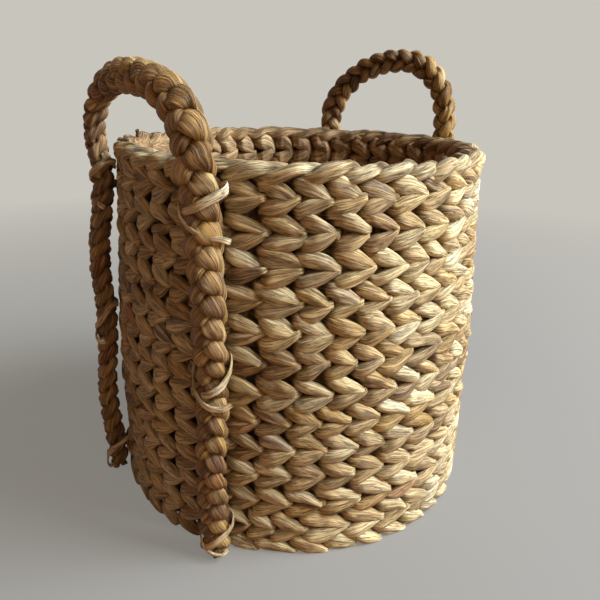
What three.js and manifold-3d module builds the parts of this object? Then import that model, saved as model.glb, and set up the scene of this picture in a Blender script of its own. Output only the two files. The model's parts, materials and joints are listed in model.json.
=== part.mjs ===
// A round woven storage basket with two braided carrying handles.
// Millimetres, +Z up, origin at the middle of the underside.
// The handles stand on the -X and +X sides, and -Y is the front.
import * as THREE from "three";
import { mergeVertices } from "three/addons/utils/BufferGeometryUtils.js";
import Module from "manifold-3d";

// Wall, measured to its outer face
const wallHeight = 335;
const rimRadius = 170;
const bellyRadius = 179;
const baseRadius = 179;
const lineCount = 26; // woven lines from floor to rim, two to each course
const outerWeft = 8;
const innerWeft = 8;
const courseRounding = 2.5; // how far a course's edges draw in from its middle
const footRounding = 4;
const rimOverhang = 2;
const rimRounding = 5;

// Each course is a row of chevrons that point anticlockwise, with a groove between one and the next
const grooveDepth = 6;
const crestPlace = 0.6; // of a chevron's length, from the groove behind it to its crest
const outerLead = 0.2; // of a chevron's length that its tip runs ahead, at the middle of the course
const outerLag = 0.28; // and that its tails lag, at the course's edges
const innerLead = -0.25; // inside the wall the strands slant the other way
const innerLag = -0.25;

// Uprights, which the courses are woven round
const uprightCount = 40;
const uprightWidth = 6;
const uprightDepth = 6;
const hubRadius = 48;

// Base
const underWeft = 6;
const overWeft = 6;

// Handles: a flat three-strand braid, lashed to the wall and arching over the rim
const braidWidth = 27;
const braidDepth = 19;
const braidSides = 8;
const handleSkew = 5.4; // degrees that each handle sits towards the back
const rimGap = 3.7; // between the rim and the braid that passes it
const hingeRise = 7; // bending line above the rim's top
const legEndRise = 4;
const legBow = 5; // how far a leg stands off the wall between its ties
const leftFrontLean = 3.9; // degrees that this leg's top sits nearer to its fellow than its foot
const leanPower = 3; // a leg leans more and more towards its top
const leftRise = 48; // from the bending line to the top of the arch's middle line
const rightRise = 70;
const leftCrownShift = -7; // how far the arch leans towards the front
const rightCrownShift = 14;

// Ties that lash the legs to the wall
const tieHeight = 6;
const tieThickness = 2;
const tieClearance = 0.6;
const lowTieRise = 20;
const highTieDrop = 35;

const clearance = 0.3;

// How finely the round forms are cut
const tubeSteps = 16;
const tieCurveSegments = 6;
const knuckleSides = 10;
const knuckleBands = 6;

const leftHandle = {
  name: "left_handle",
  azimuth: 180 - handleSkew,
  legAngle: 26.8,
  frontLean: leftFrontLean,
  rise: leftRise,
  crownShift: leftCrownShift,
  front: 1,
};
const rightHandle = {
  name: "right_handle",
  azimuth: handleSkew,
  legAngle: 23.5,
  frontLean: 0,
  rise: rightRise,
  crownShift: rightCrownShift,
  front: -1,
};

const lineHeight = wallHeight / lineCount;
const courseCount = lineCount / 2 - 1;
const bellyHeight = wallHeight / 2;
const hingeHeight = wallHeight + hingeRise;
const facetAngle = Math.PI / uprightCount;
const spokeBottom = underWeft + clearance;
const spokeTop = spokeBottom + uprightDepth;
const legTopRadius = corner(rimRadius + rimOverhang) + rimGap + braidDepth / 2;
const rimPass = wallHeight - lineHeight / 2; // height at which a leg passes the rim

const strawOuter = { color: 0xb08a5a, roughness: 0.85, metalness: 0 };
const strawInner = { color: 0x8f7350, roughness: 0.9, metalness: 0 };
const strawBase = { color: 0x7d6344, roughness: 0.9, metalness: 0 };
const cane = { color: 0x6b4f33, roughness: 0.8, metalness: 0 };
const braid = { color: 0x96703f, roughness: 0.85, metalness: 0 };
const peeledStrip = { color: 0xcdb68a, roughness: 0.7, metalness: 0 };

const wasm = await Module();
wasm.setup();

const basket = new THREE.Group();

// Outer radius of the wall at a height, in two straight runs that meet at the belly
function wallRadius(height) {
  if (height < bellyHeight) {
    return THREE.MathUtils.mapLinear(height, 0, bellyHeight, baseRadius, bellyRadius);
  }
  return THREE.MathUtils.mapLinear(height, bellyHeight, wallHeight, bellyRadius, rimRadius);
}

// The rings have flat facets, and their corners reach further out than the facets
function corner(facetRadius) {
  return facetRadius / Math.cos(facetAngle);
}

function addPiece(parent, name, geometry, finish) {
  const mesh = new THREE.Mesh(geometry, new THREE.MeshStandardMaterial(finish));
  mesh.name = name;
  parent.add(mesh);
  return mesh;
}

function toSolid(geometry) {
  const bare = new THREE.BufferGeometry();
  bare.setAttribute("position", geometry.getAttribute("position").clone());
  if (geometry.index) {
    bare.setIndex(geometry.index.clone());
  }
  const merged = mergeVertices(bare);
  return new wasm.Manifold(new wasm.Mesh({
    numProp: 3,
    vertProperties: new Float32Array(merged.getAttribute("position").array),
    triVerts: new Uint32Array(merged.index.array),
  }));
}

function toGeometry(solid) {
  const mesh = solid.getMesh();
  const geometry = new THREE.BufferGeometry();
  geometry.setAttribute("position", new THREE.BufferAttribute(mesh.vertProperties, 3));
  geometry.setIndex(new THREE.BufferAttribute(mesh.triVerts, 1));
  return geometry;
}

// A ring or disc turned about Z, from facet radii and heights, with a facet facing each upright
function turned(profile) {
  const points = profile.map(([radius, height]) => new THREE.Vector2(corner(radius), height));
  const geometry = new THREE.LatheGeometry(points, uprightCount, facetAngle);
  geometry.rotateX(Math.PI / 2);
  return geometry;
}

function closedRing(profile) {
  return turned([...profile, profile[0]]);
}

// A closed row of points with a corner between each two uprights, as turned rings have
function plainRow(radius, height) {
  const places = Array.from({ length: uprightCount }, (_, index) => index + 0.5);
  return places.map((place) => pointAt(corner(radius), place, height));
}

// A closed row of points that dips into a groove and rises to a crest once for each upright
function lobedRow(crest, groove, lead, height) {
  const starts = Array.from({ length: uprightCount }, (_, index) => index + 0.5 + lead);
  return starts.flatMap((start) => [
    pointAt(groove, start, height),
    pointAt(crest, start + crestPlace, height),
  ]);
}

function pointAt(radius, place, height) {
  const turn = 2 * facetAngle * place;
  return new THREE.Vector3(radius * Math.cos(turn), radius * Math.sin(turn), height);
}

// A ring through closed rows of points, which go round its section from the bottom outwards.
// Rows may differ in how many points they have.
function ringThrough(rows) {
  const starts = [];
  const points = [];
  for (const row of rows) {
    starts.push(points.length);
    points.push(...row);
  }
  const faces = [];
  rows.forEach((row, index) => {
    const following = (index + 1) % rows.length;
    const here = (step) => starts[index] + step % row.length;
    const there = (step) => starts[following] + step % rows[following].length;
    let [a, b] = [0, 0];
    while (a < row.length || b < rows[following].length) {
      if ((a + 1) * rows[following].length <= (b + 1) * row.length) {
        faces.push(here(a), here(a + 1), there(b));
        a += 1;
      } else {
        faces.push(here(a), there(b + 1), there(b));
        b += 1;
      }
    }
  });
  const geometry = new THREE.BufferGeometry().setFromPoints(points);
  geometry.setIndex(faces);
  return geometry;
}

// One course is two lines of weft: a ring outside the uprights and a ring inside them
function outerCourse(number, growth) {
  const bottom = (2 * number - 1) * lineHeight + clearance / 2 - growth;
  const top = (2 * number + 1) * lineHeight - clearance / 2 + growth;
  const innerFace = (height) => wallRadius(height) - outerWeft;
  const outerRow = (height, rounding, lead) => {
    const reach = wallRadius(height) + growth;
    return lobedRow(reach - rounding, reach - grooveDepth, lead, height);
  };
  return ringThrough([
    plainRow(innerFace(bottom), bottom),
    outerRow(bottom, courseRounding, -outerLag),
    outerRow((bottom + top) / 2, 0, outerLead),
    outerRow(top, courseRounding, -outerLag),
    plainRow(innerFace(top), top),
  ]);
}

function innerCourse(number) {
  const bottom = (2 * number - 1) * lineHeight + clearance / 2;
  const top = (2 * number + 1) * lineHeight - clearance / 2;
  const backFace = (height) => wallRadius(height) - outerWeft - uprightDepth - 2 * clearance;
  const innerRow = (height, rounding, lead) => {
    const reach = backFace(height) - innerWeft;
    return lobedRow(reach + rounding, reach + grooveDepth, lead, height);
  };
  return ringThrough([
    innerRow(bottom, courseRounding, -innerLag),
    plainRow(backFace(bottom), bottom),
    plainRow(backFace(top), top),
    innerRow(top, courseRounding, -innerLag),
    innerRow((bottom + top) / 2, 0, innerLead),
  ]);
}

function addCourse(number) {
  const label = String(number).padStart(2, "0");
  addPiece(basket, `weft_${label}_outer`, outerCourse(number, 0), strawOuter);
  addPiece(basket, `weft_${label}_inner`, innerCourse(number), strawInner);
}

function addFootAndRim() {
  const footTop = lineHeight - clearance / 2;
  const foot = closedRing([
    [baseRadius - outerWeft, 0],
    [baseRadius - footRounding, 0],
    [baseRadius, footRounding],
    [wallRadius(footTop) - courseRounding, footTop],
    [baseRadius - outerWeft, footTop],
  ]);
  addPiece(basket, "weft_foot", foot, strawOuter);

  // The rim is one line, so its lobes all slant one way, upwards and ahead
  const rimBottom = wallHeight - lineHeight + clearance / 2;
  const rimOutside = rimRadius + rimOverhang;
  const rimInside = rimRadius - outerWeft - uprightDepth - 2 * clearance - innerWeft;
  const rimRow = (height, rounding, lead) => {
    return lobedRow(rimOutside - rounding, rimOutside - grooveDepth, lead, height);
  };
  const rim = ringThrough([
    plainRow(rimInside, rimBottom),
    rimRow(rimBottom, rimRounding / 2, -outerLag),
    rimRow(wallHeight - lineHeight / 2, 0, (outerLead - outerLag) / 2),
    rimRow(wallHeight - rimRounding / 2, rimRounding / 2, outerLead),
    plainRow(rimOutside - grooveDepth - rimRounding / 2, wallHeight),
    plainRow(rimInside + rimRounding, wallHeight),
    plainRow(rimInside, wallHeight - rimRounding),
  ]);
  addPiece(basket, "weft_rim", rim, strawOuter);
}

// Spokes cross the base, turn up at its edge and become the uprights
function addUprightFrame() {
  const outerFace = (height) => wallRadius(height) - outerWeft - clearance;
  const uprightTop = wallHeight - lineHeight - clearance / 2;
  const outline = new THREE.Shape([
    new THREE.Vector2(hubRadius / 2, spokeBottom),
    new THREE.Vector2(outerFace(spokeBottom), spokeBottom),
    new THREE.Vector2(outerFace(bellyHeight), bellyHeight),
    new THREE.Vector2(outerFace(uprightTop), uprightTop),
    new THREE.Vector2(outerFace(uprightTop) - uprightDepth, uprightTop),
    new THREE.Vector2(outerFace(bellyHeight) - uprightDepth, bellyHeight),
    new THREE.Vector2(outerFace(spokeTop) - uprightDepth, spokeTop),
    new THREE.Vector2(hubRadius / 2, spokeTop),
  ]);
  const hub = new THREE.CylinderGeometry(hubRadius, hubRadius, uprightDepth, uprightCount);
  hub.rotateX(Math.PI / 2);
  hub.translate(0, 0, (spokeBottom + spokeTop) / 2);
  let frame = toSolid(hub);
  for (let index = 0; index < uprightCount; index += 1) {
    const upright = new THREE.ExtrudeGeometry(outline, { depth: uprightWidth, bevelEnabled: false });
    upright.translate(0, 0, -uprightWidth / 2);
    upright.rotateX(Math.PI / 2);
    upright.rotateZ(2 * facetAngle * index);
    frame = frame.add(toSolid(upright));
  }
  addPiece(basket, "upright_frame", toGeometry(frame), cane);
}

function addBase() {
  const underRadius = baseRadius - outerWeft - clearance;
  const under = turned([[0, 0], [underRadius, 0], [underRadius, underWeft], [0, underWeft]]);
  addPiece(basket, "base_weft_under", under, strawBase);

  const overBottom = spokeTop + clearance;
  const overTop = overBottom + overWeft;
  const narrowest = Math.min(wallRadius(overBottom), wallRadius(overTop));
  const backFace = narrowest - outerWeft - uprightDepth - 2 * clearance;
  const overRadius = backFace - innerWeft - clearance;
  const over = turned([[0, overBottom], [overRadius, overBottom], [overRadius, overTop], [0, overTop]]);
  addPiece(basket, "base_weft_over", over, strawBase);
}

// A braid along a path near the XZ plane: across is its half size along Y, and along is in the plane
function braidTube(path, across, along) {
  const section = new THREE.Shape();
  section.absellipse(0, 0, across, along, 0, 2 * Math.PI);
  const outline = new THREE.Shape(section.getSpacedPoints(braidSides).slice(0, braidSides));
  return new THREE.ExtrudeGeometry(outline, { steps: tubeSteps, extrudePath: path });
}

const tieHeights = {
  low: lowTieRise,
  middle: (lowTieRise + wallHeight - highTieDrop) / 2,
  high: wallHeight - highTieDrop,
};

// Distance of a leg's middle line from the basket's axis, where a tie holds it to the wall
function tiedRadius(height) {
  return corner(wallRadius(height)) + clearance + braidDepth / 2;
}

// Degrees that a leg has turned round the basket at a height, upright as far as its middle tie
function leanAt(lean, height) {
  const share = THREE.MathUtils.mapLinear(height, tieHeights.middle, rimPass, 0, 1);
  return lean * THREE.MathUtils.clamp(share, 0, 1) ** leanPower;
}

// The middle line of a leg: tied to the wall, bowed out between the ties and leaning towards its top
function legLine(lean) {
  const points = [];
  const pass = (radius, height) => {
    const turn = THREE.MathUtils.degToRad(leanAt(lean, height));
    points.push(new THREE.Vector3(radius * Math.cos(turn), radius * Math.sin(turn), height));
  };
  const lowBow = (tieHeights.low + tieHeights.middle) / 2;
  const highBow = (tieHeights.middle + tieHeights.high) / 2;
  const tied = (height) => {
    pass(tiedRadius(height - tieHeight / 2), height - tieHeight / 2);
    pass(tiedRadius(height + tieHeight / 2), height + tieHeight / 2);
  };
  pass(tiedRadius(legEndRise), legEndRise);
  tied(tieHeights.low);
  pass(tiedRadius(lowBow) + legBow, lowBow);
  tied(tieHeights.middle);
  pass(tiedRadius(highBow) + legBow, highBow);
  tied(tieHeights.high);
  pass(legTopRadius, rimPass);
  pass(legTopRadius, hingeHeight - braidDepth / 2 - clearance);
  return new THREE.CatmullRomCurve3(points);
}

const legStations = legLine(0).getSpacedPoints(tubeSteps);

// The wall's outside with the clearance added, which the ties are cut with
const courses = Array.from({ length: courseCount }, (_, index) => index + 1);
const grownCourses = courses.map((number) => toSolid(outerCourse(number, clearance)));
const wallWithGap = grownCourses.reduce((wall, course) => wall.add(course));

function legRadius(height) {
  const next = legStations.findIndex((station) => station.z > height);
  const [below, above] = [legStations[next - 1], legStations[next]];
  return THREE.MathUtils.mapLinear(height, below.z, above.z, below.x, above.x);
}

function addLeg(stand, name, lean) {
  addPiece(stand, name, braidTube(legLine(lean), braidWidth / 2, braidDepth / 2), braid);
}

// A tie is a strip bent round the outside of a leg, with both ends cut to fit the wall's lobes
function addTie(stand, name, height, lean) {
  const middle = legRadius(height);
  const bottom = height - tieHeight / 2;
  const top = height + tieHeight / 2;
  const tilt = Math.abs(legRadius(top) - legRadius(bottom)) / 2;
  const swing = THREE.MathUtils.degToRad(Math.abs(leanAt(lean, top) - leanAt(lean, bottom))) / 2;
  const innerHalf = braidWidth / 2 + tieClearance + middle * swing;
  const innerReach = braidDepth / 2 + tieClearance + tilt;
  const outerHalf = innerHalf + tieThickness;
  const outerReach = innerReach + tieThickness;
  const deepest = wallRadius(height) - grooveDepth;
  const end = Math.sqrt(deepest ** 2 - outerHalf ** 2) - middle;
  const band = new THREE.Shape();
  band.moveTo(end, -outerHalf);
  band.lineTo(0, -outerHalf);
  band.absellipse(0, 0, outerReach, outerHalf, -Math.PI / 2, Math.PI / 2, false, 0);
  band.lineTo(end, outerHalf);
  band.lineTo(end, innerHalf);
  band.lineTo(0, innerHalf);
  band.absellipse(0, 0, innerReach, innerHalf, Math.PI / 2, -Math.PI / 2, true, 0);
  band.lineTo(end, -innerHalf);
  const options = { depth: tieHeight, bevelEnabled: false, curveSegments: tieCurveSegments };
  const tie = new THREE.ExtrudeGeometry(band, options);
  tie.translate(middle, 0, bottom);
  tie.rotateZ(THREE.MathUtils.degToRad(leanAt(lean, height)));
  const wall = toGeometry(wallWithGap).rotateZ(-stand.rotation.z);
  addPiece(stand, name, toGeometry(toSolid(tie).subtract(toSolid(wall))), peeledStrip);
}

// The grip is an arch in an upright plane, with a round knuckle at each end to bend on
function addGrip(stand, name, halfSpan, rise, crownShift) {
  const points = [];
  for (let index = 0; index <= tubeSteps; index += 1) {
    const turn = Math.PI * index / tubeSteps;
    const across = halfSpan * Math.cos(turn) + crownShift * Math.sin(turn) ** 2;
    points.push(new THREE.Vector3(across, 0, rise * Math.sin(turn)));
  }
  const path = new THREE.CatmullRomCurve3(points);
  let grip = toSolid(braidTube(path, braidDepth / 2, braidWidth / 2));
  for (const side of [-1, 1]) {
    const knuckle = new THREE.SphereGeometry(1, knuckleSides, knuckleBands);
    knuckle.rotateZ(Math.PI / 2);
    knuckle.scale(braidWidth / 2, braidDepth / 2, braidDepth / 2);
    knuckle.translate(side * halfSpan, 0, 0);
    grip = grip.add(toSolid(knuckle));
  }
  addPiece(stand, name, toGeometry(grip), braid);
}

function addHandle({ name, azimuth, legAngle, frontLean, rise, crownShift, front }) {
  const topLean = -front * frontLean;
  const turn = THREE.MathUtils.degToRad(azimuth + topLean / 2);
  const spread = THREE.MathUtils.degToRad(legAngle - frontLean / 2);
  const gripStand = new THREE.Group();
  gripStand.rotation.z = turn + front * Math.PI / 2;
  gripStand.position.set(
    legTopRadius * Math.cos(spread) * Math.cos(turn),
    legTopRadius * Math.cos(spread) * Math.sin(turn),
    hingeHeight,
  );
  basket.add(gripStand);
  addGrip(gripStand, `${name}_grip`, legTopRadius * Math.sin(spread), rise, crownShift);

  for (const [side, direction, lean] of [["front", front, topLean], ["rear", -front, 0]]) {
    const legStand = new THREE.Group();
    legStand.rotation.z = THREE.MathUtils.degToRad(azimuth + direction * legAngle);
    basket.add(legStand);
    addLeg(legStand, `${name}_${side}_leg`, lean);
    for (const [level, height] of Object.entries(tieHeights)) {
      addTie(legStand, `${name}_${side}_tie_${level}`, height, lean);
    }
  }
}

addBase();
addUprightFrame();
addFootAndRim();
for (const number of courses) {
  addCourse(number);
}
addHandle(leftHandle);
addHandle(rightHandle);

export default basket;
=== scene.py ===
import json
import math
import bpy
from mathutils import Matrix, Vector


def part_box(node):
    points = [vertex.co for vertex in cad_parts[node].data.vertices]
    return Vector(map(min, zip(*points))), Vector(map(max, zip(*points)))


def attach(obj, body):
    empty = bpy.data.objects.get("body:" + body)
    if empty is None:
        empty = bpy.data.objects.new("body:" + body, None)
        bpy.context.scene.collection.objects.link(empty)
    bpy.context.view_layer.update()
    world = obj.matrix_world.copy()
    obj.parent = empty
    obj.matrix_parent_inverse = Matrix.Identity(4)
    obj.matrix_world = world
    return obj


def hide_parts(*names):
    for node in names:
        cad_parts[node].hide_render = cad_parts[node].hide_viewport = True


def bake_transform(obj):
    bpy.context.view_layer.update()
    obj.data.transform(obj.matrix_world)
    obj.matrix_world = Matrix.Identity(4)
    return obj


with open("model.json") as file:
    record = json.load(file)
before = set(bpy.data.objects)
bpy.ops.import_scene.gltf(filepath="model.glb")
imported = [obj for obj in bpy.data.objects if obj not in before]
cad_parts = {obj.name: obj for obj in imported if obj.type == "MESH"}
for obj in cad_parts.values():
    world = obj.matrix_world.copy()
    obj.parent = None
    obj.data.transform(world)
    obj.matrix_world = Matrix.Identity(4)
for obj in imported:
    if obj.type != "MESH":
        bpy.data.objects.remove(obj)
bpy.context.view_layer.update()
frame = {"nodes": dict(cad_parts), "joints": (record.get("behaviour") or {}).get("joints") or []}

from types import SimpleNamespace

import bpy
import numpy as np
from mathutils import Matrix, Vector

# Lengths are in millimetres until a mesh, lamp or camera is made
METRES = 0.001

# Every random draw starts from SEED and the number of its kind of strand
SEED = 20
BASE_SEED = 100
BRAID_SEED = 200
TIE_SEED = 300
STUB_SEED = 400

LINE_COUNT = 26
UPRIGHT_COUNT = 40
RIM_OVERHANG = 2

# Slow waves of a line up and down, each shared in part with the lines beside it
LINE_WAVES = 9
LINE_WAVE_HEIGHT = 0.75
LINE_WAVE_HEIGHT_AT_EDGES = 0.1875
OWN_WAVE_SHARE = 1.6
SHARED_WAVE_SIZE = 2.4

# How far the crossings of a pair of lines wander round the wall, in repeats of the weave
PAIR_WAVES = 13
PAIR_DRIFT = 0.1

BASE_ROUNDS = 12
BASE_MIDDLE_ROUNDS = 8
BASE_LOBE_LENGTH = 25
BASE_TUCK = 2.5

# One strand of a woven line, which swings out past one upright and in past the next. Its shape
# repeats every two uprights, and the four tables give it in sixteenths of that, from the
# crossing where it comes out. It comes out broad, from under the tip of the strand before it,
# narrows towards the side where the two lines of a pair meet, and ends in a point over the
# next crossing, where it dives. Inside the wall it stays broad. It is thick at the crossings,
# where it fills the wall's depth.
WALL_STRAND = SimpleNamespace(
    swing=6.2, thickness=4.7, flatten=0.2, rise=6.0, tall=7.4, stations=18, sides=28
)
RIM_STRAND = SimpleNamespace(
    swing=5.0, thickness=6.8, flatten=0.1, rise=4.4, tall=6.4, stations=20, sides=30
)
BASE_STRAND = SimpleNamespace(
    swing=4.6, thickness=4.4, flatten=0.2, rise=4.0, tall=7.0, stations=14, sides=18
)
SWING_SHAPE = np.array([
    -0.15, 0.2, 0.6, 0.9, 1.0, 1.0, 1.0, 1.0, 0.95, 0.3, -0.6, -0.9, -0.98, -1.0, -0.95, -0.7
])
WIDTH_SHAPE = np.array([
    1.04, 1.02, 1.1, 1.12, 1.08, 1.0, 0.91, 0.78, 0.62, 0.55, 1.05, 1.24, 1.3, 1.3, 1.27, 1.2
])
RISE_SHAPE = np.array([
    -0.48, -0.48, -0.36, -0.22, -0.06, 0.14, 0.37, 0.61, 0.84, 1.0, 0.7, 0.36, 0.06, -0.17, -0.32, -0.42
])
THICKNESS_SHAPE = np.array([
    1.85, 1.82, 1.4, 1.06, 0.95, 0.95, 0.93, 0.9, 0.92, 1.55, 1.45, 1.1, 1.04, 1.0, 1.12, 1.5
])

# The rim's two strands wind round each other like a rope's, so their lobes stay broad at the top
RIM_SWING_SHAPE = np.array([
    -0.1, 0.4, 0.75, 0.94, 1.0, 1.0, 0.94, 0.8, 0.5, 0.05, -0.45, -0.8, -0.96, -1.0, -0.9, -0.6
])
RIM_WIDTH_SHAPE = np.array([
    0.9, 0.98, 1.04, 1.06, 1.04, 1.0, 0.93, 0.84, 0.76, 0.74, 0.82, 0.94, 1.02, 1.04, 1.0, 0.92
])
RIM_RISE_SHAPE = np.array([
    -0.82, -0.68, -0.47, -0.2, 0.07, 0.33, 0.56, 0.74, 0.84, 0.84, 0.74, 0.5, 0.16, -0.25, -0.58, -0.79
])
RIM_THICKNESS_SHAPE = np.array([
    1.1, 1.05, 1.0, 0.98, 0.98, 1.0, 1.0, 0.98, 0.92, 0.9, 0.94, 1.0, 1.02, 1.02, 1.05, 1.1
])
WALL_SHAPES = (SWING_SHAPE, WIDTH_SHAPE, THICKNESS_SHAPE, RISE_SHAPE)
RIM_SHAPES = (RIM_SWING_SHAPE, RIM_WIDTH_SHAPE, RIM_THICKNESS_SHAPE, RIM_RISE_SHAPE)

# How much the lobes of a line differ from each other. Lift is in millimetres, tilt in radians,
# place in repeats of the weave, and the others are shares of a strand's own sizes.
LOBE_SPREAD = SimpleNamespace(
    place=0.022, swing=0.1, rise=0.16, lift=0.6, width=0.1, thickness=0.07, tilt=0.17
)

# Powers that square a strand's section off: below 1 the faces and edges are fuller than an ellipse's
FACE_POWER = 0.88
EDGE_POWER = 0.85

# A stem's ribs, folds, wrinkles and creases: their usual length, how many go round it, as a share
# of its section's points or as a number, their height or depth, and how much painted shade their low places
# get.
# A crease wanders by a share of the way round.
RIBS = SimpleNamespace(length=32, share=0.45, height=0.5, shade=0.35)
FOLDS = SimpleNamespace(length=26, share=0.22, height=0.85, shade=0.15)
WRINKLES = SimpleNamespace(length=6, count=5, height=0.35)
CREASES = SimpleNamespace(length=20, share=0.25, depth=1.6, width=1.7, wander=0.06)

# A strand's way round, for each millimetre of its two half sizes together
STRAND_GIRTH = 2.6
BAND_GIRTH = 2.4

# Tone and hue of the lobes: the shape of each one's spread from 0 to 1, and how much of it is a
# lobe's own. The rest drifts slowly along the stem.
TONE_BETA = (2.6, 2.3)
HUE_BETA = (1.9, 1.1)
TONE_OF_LOBE = 0.64
HUE_OF_LOBE = 0.55

# Where the colour changes to the inside's, and where the depths between strands get painted shade, in
# millimetres out from the middle of the wall or of the braid
INSIDE_FADE = (-2, 3)
WALL_DEPTH_FADE = 3
BRAID_DEPTH_FADE = (4.5, 10.5)

# How dark the painted shade in creases and in the depths between strands is, how much of it the inside of
# the wall loses, and the chance of a marked lobe
CREASE_SHADE = 0.7
WALL_DEPTH_SHADE = 0.85
INSIDE_SHADE_LOSS = 0.9
BRAID_DEPTH_SHADE = 0.75
BAND_CREASE_SHADE = 0.3
WALL_STAINED = 0.07
WALL_RUSTY = 0.012
BRAID_STAINED = 0.4
BRAID_RUSTY = 0.05

# Smallest height above the ground of each kind of strand, and what a strand may stand above the rim
WALL_FLOOR_GAP = 0.1
BASE_FLOOR_GAP = 0.2
BRAID_FLOOR_GAP = 0.5
BAND_FLOOR_GAP = 0.4
RIM_SLACK = 1

# Handle braid
BRAID_WIDTH = 27
BRAID_DEPTH = 19
BRAID_PERIOD = 58
BRAID_SWAY = 9.0
BRAID_LIFT = 5.0
BRAID_HALF_STRAND = 9.3
BRAID_HALF_THICKNESS = 4.2
BRAID_TILT = 1.1
BRAID_RELIEF = 0.55
BRAID_STRAND_STRETCH = 1.3
BRAID_END_TAPER = 8
BRAID_END_GIRTH = 0.75
BRAID_SWAY_SPREAD = 0.5
BRAID_WIDTH_SPREAD = 0.07
BRAID_WIDTH_SHAPE = np.array([0.74, 0.92, 1.0, 0.9, 0.66, 0.66, 0.74, 0.72])
BRAID_THICKNESS_SHAPE = np.array([0.95, 1.0, 1.0, 1.1, 1.3, 1.1, 1.0, 0.95])
BRAID_STATION = 1.5
HANDLE_LENGTH = 930
# How broad each braid is along its length, from its front foot to its rear foot. Its period is
# partly fixed and partly goes with that girth.
BRAID_PERIOD_FIXED = 0.42
BRAID_PERIOD_BY_GIRTH = 0.5
BRAID_PLACES = [0, 0.2, 0.33, 0.41, 0.5, 0.6, 1]
BRAID_GIRTHS = {
    "left_handle": [0.8, 0.86, 1.05, 1.12, 0.84, 0.72, 0.72],
    "right_handle": [0.8, 0.84, 0.86, 0.84, 0.8, 0.82, 0.8],
}
BRAID_SIDES = 30
LEG_BOW = 5
LEG_RING_REACH = 14
CLEARANCE = 0.3
CROWN_SHIFT = {"left_handle": -7, "right_handle": 14}
ARCH_STEPS = 12
ARCH_FACING_FADE = 0.6

TIE_LIFT = 2.0
TIE_THICKNESS = 0.9
TIE_SLACK = 1.5
BAND_STATION = 1.2
BAND_SIDES = 14
BAND_RELIEF = 0.25
BAND_CELLS = 6
BAND_WIDTH_SPREAD = 0.12
BAND_TONES = (0.35, 0.8)
BAND_TONE_SPREAD = 0.2
# Half width of each strip of a tie, and its route: rows of angle round the leg, height and lift
TIE_ROUTES = {
    "high": [
        (3.5, [
            (-62, 16, 1), (-35, 18, 0), (10, 15, 0), (90, 4, 0), (170, -3, 0), (215, -4, 0), (242, -4, 1)
        ]),
        (2.1, [
            (240, 11, 1), (208, 12, 1), (178, 6, 2), (150, -6, 1), (90, -15, 0.6), (25, -19, 1), (5, -21, 4)
        ]),
    ],
    "middle": [
        (3.0, [
            (240, 22, 1), (205, 23, 1), (178, 13, 1), (140, 0, 0.4),
            (90, -9, 0.4), (40, -11, 1), (12, -8, 4),
        ]),
        (3.1, [
            (-60, 25, 1), (-30, 26, 1), (5, 18, 1), (40, 8, 0.2), (75, 2, 0), (110, -2, -1.5)
        ]),
    ],
    "low": [
        (2.9, [
            (-60, 18, 1), (-30, 18, 1), (10, 13, 1), (60, 3, 0), (100, -5, 0), (140, -9, 0), (170, -12, -1)
        ]),
        (2.1, [
            (238, 13, 0), (205, 11, 0), (175, 3, 0), (130, -5, 0), (90, -10, 0.3), (50, -11, 1), (20, -7, 1)
        ]),
    ],
}

# The end of one upright, which stands up inside the rim, left of the back: rows of radius,
# distance round the wall and height above the wall
STUB_AZIMUTH = 127
STUB_HALF_WIDTH = 1.8
STUB_ROUTE = [(158, 2, -30), (158, 1, -18), (157, 0, -8), (157, 1.5, 0), (157, 4, 5)]

# Photograph's camera, in the photograph's own frame: it looks along +Y
PHOTO_TURN = -49.1
PHOTO_PIXELS = 600
PHOTO_FOCUS = 616
SENSOR = 36
CAMERA_DISTANCE = 608.1
CAMERA_HEIGHT = 391.7
CAMERA_YAW = 0.0078
CAMERA_PITCH = 0.3472
CAMERA_ROLL = 0.0268

BACKDROP = "#c8c5bd"
AMBIENT = "#f0946a"
AMBIENT_LEVEL = 0.05
FLOOR = "#757271"
FLOOR_GLOW = 0.35
FLOOR_BOUNCE = "#8c6a4e"
FLOOR_RADIUS = 6
FLOOR_FADE_START = 0.35
FLOOR_FADE_END = 1.6
# Name, azimuth, elevation, distance, size, power and colour of each lamp, in the photograph's frame
LAMPS = [
    ("key", -8, 40, 2.4, 1.4, 164, (0.89, 0.97, 1.0)),
    ("front", -55, 32, 2.0, 1.6, 8, (1.0, 0.77, 0.56)),
    ("fill", -135, 35, 1.8, 1.4, 2.2, (1.0, 0.5, 0.25)),
]

# Colours of the straw, from a strand's darkest tone to its lightest
WARM_TONES = ["#95703b", "#b8945a", "#d3b47c", "#e4ce9a", "#f0e1b8"]
COOL_TONES = ["#80664f", "#a38a6c", "#c1ab8a", "#d6c6a5", "#e5dabf"]
INNER_TONES = ["#76573a", "#95734d", "#ad8a63", "#be9d74", "#ccb189"]
BRAID_WARM = ["#77532a", "#a47b42", "#c29a5b", "#d6b576", "#e6cd97"]
BRAID_COOL = ["#5c3e2f", "#836146", "#a27e5a", "#bd996f", "#d1b289"]
STRIP_TONES = ["#b89c70", "#d0b78c", "#e2cca4", "#eddcb8", "#f5eacf"]
RUST = "#a05a2c"
PALE_FIBRE = "#e2cda0"
STAIN = "#54302f"
# Colour of the painted shade in creases and in the depths between strands
SHADOW = "#34200f"
CANE_DARK = "#4a3522"
CANE_LIGHT = "#7a5c3a"
# Noises of the straw: usual length and width in millimetres, detail and, for one, roughness
FIBRE_GRAIN = (34, 1.1, 3)
THREAD_GRAIN = (22, 0.6, 2)
STREAK_GRAIN = (60, 3.4, 3)
BLOTCH_GRAIN = (13, 7, 4, 0.65)
# How far streaks and blotches shift a strand's tone and hue
STREAK_TONE = 0.18
BLOTCH_TONE = 0.13
BLOTCH_HUE = 0.25
# How much of a tone is left in a crack, how far shade goes to SHADOW, and the height of the grain
CRACK_TONE = 0.32
SHADOW_LEVEL = 0.78
STRAW_BUMP = 1.2
STRAW_SPECULAR = 0.22

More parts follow.
